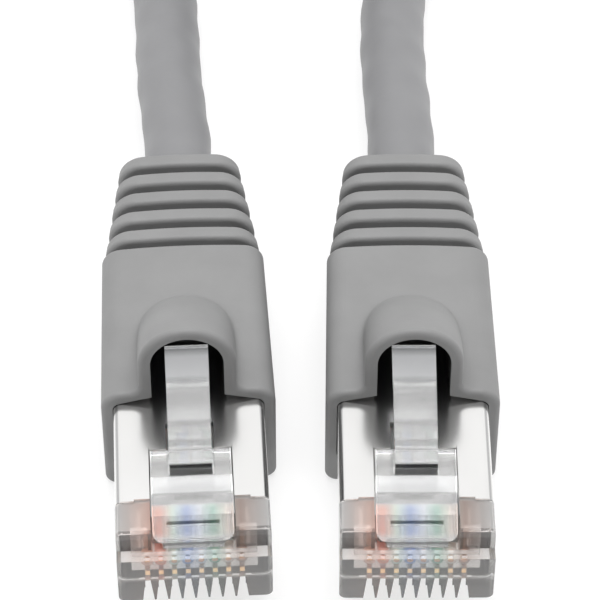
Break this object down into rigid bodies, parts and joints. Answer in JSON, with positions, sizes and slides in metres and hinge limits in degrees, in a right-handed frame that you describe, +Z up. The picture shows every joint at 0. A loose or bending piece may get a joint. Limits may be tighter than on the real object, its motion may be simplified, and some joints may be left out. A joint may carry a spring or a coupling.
{
  "type": "ethernet patch cable",
  "caption": "Shielded ethernet patch cable with snagless boots: clear latching plugs with gold contacts at both ends, the spare length tied in a hank.",
  "frame": {"origin": "bottom centre of the two plugs lying side by side, on the surface they rest on", "axes": "+X across the two plugs, +Y from the plug noses back towards the cable, +Z up"},
  "size_m": [0.0522, 0.1752, 0.0174],
  "materials": {
    "clear_plastic": "clear polycarbonate, polished",
    "nickel_sheet": "bright nickel-plated sheet, slightly blurred reflections",
    "gold_contact": "gold-plated phosphor bronze",
    "guide_plastic": "translucent moulded guide",
    "boot_plastic": "grey flexible PVC, fine matt texture",
    "cable_jacket": "grey PVC jacket, slightly bluish, satin",
    "braid": "tinned copper braid folded back",
    "copper": "bare copper strands",
    "tie_fabric": "black hook-and-loop tape",
    "wire_white_orange": "insulated conductor, white with stripe of orange",
    "wire_orange": "insulated conductor, orange",
    "wire_white_green": "insulated conductor, white with stripe of green",
    "wire_blue": "insulated conductor, blue",
    "wire_white_blue": "insulated conductor, white with stripe of blue",
    "wire_green": "insulated conductor, green",
    "wire_white_brown": "insulated conductor, white with stripe of brown",
    "wire_brown": "insulated conductor, brown"
  },
  "bodies": {
    "root": {"housing_a": "clear_plastic", "shield_a": "nickel_sheet", "contacts_a": "gold_contact", "load_bar_a": "guide_plastic", "boot_a": "boot_plastic", "jacket_end_a": "cable_jacket", "braid_wrap_a": "braid", "copper_cores_a": "copper", "wire_1_a": "wire_white_orange", "wire_2_a": "wire_orange", "wire_3_a": "wire_white_green", "wire_4_a": "wire_blue", "wire_5_a": "wire_white_blue", "wire_6_a": "wire_green", "wire_7_a": "wire_white_brown", "wire_8_a": "wire_brown", "housing_b": "clear_plastic", "shield_b": "nickel_sheet", "contacts_b": "gold_contact", "load_bar_b": "guide_plastic", "boot_b": "boot_plastic", "jacket_end_b": "cable_jacket", "braid_wrap_b": "braid", "copper_cores_b": "copper", "wire_1_b": "wire_white_orange", "wire_2_b": "wire_orange", "wire_3_b": "wire_white_green", "wire_4_b": "wire_blue", "wire_5_b": "wire_white_blue", "wire_6_b": "wire_green", "wire_7_b": "wire_white_brown", "wire_8_b": "wire_brown", "lead_a": "cable_jacket", "lead_b": "cable_jacket", "cable_hank": "cable_jacket", "hank_tie": "tie_fabric"},
    "latch_a": {"latch_a": "clear_plastic"},
    "latch_b": {"latch_b": "clear_plastic"}
  },
  "joints": [
    {"name": "latch_a_press", "type": "hinge", "parent": "root", "child": "latch_a", "pos_m": [-0.0077, -0.01935, 0.0075], "axis": [-0.9985, -0.055, 0], "range_deg": [0, 10.5], "stiffness_Nm_per_rad": 0.12},
    {"name": "latch_b_press", "type": "hinge", "parent": "root", "child": "latch_b", "pos_m": [0.00908, -0.01935, 0.0075], "axis": [-1, -0.0027, 0], "range_deg": [0, 10.5], "stiffness_Nm_per_rad": 0.12}
  ]
}
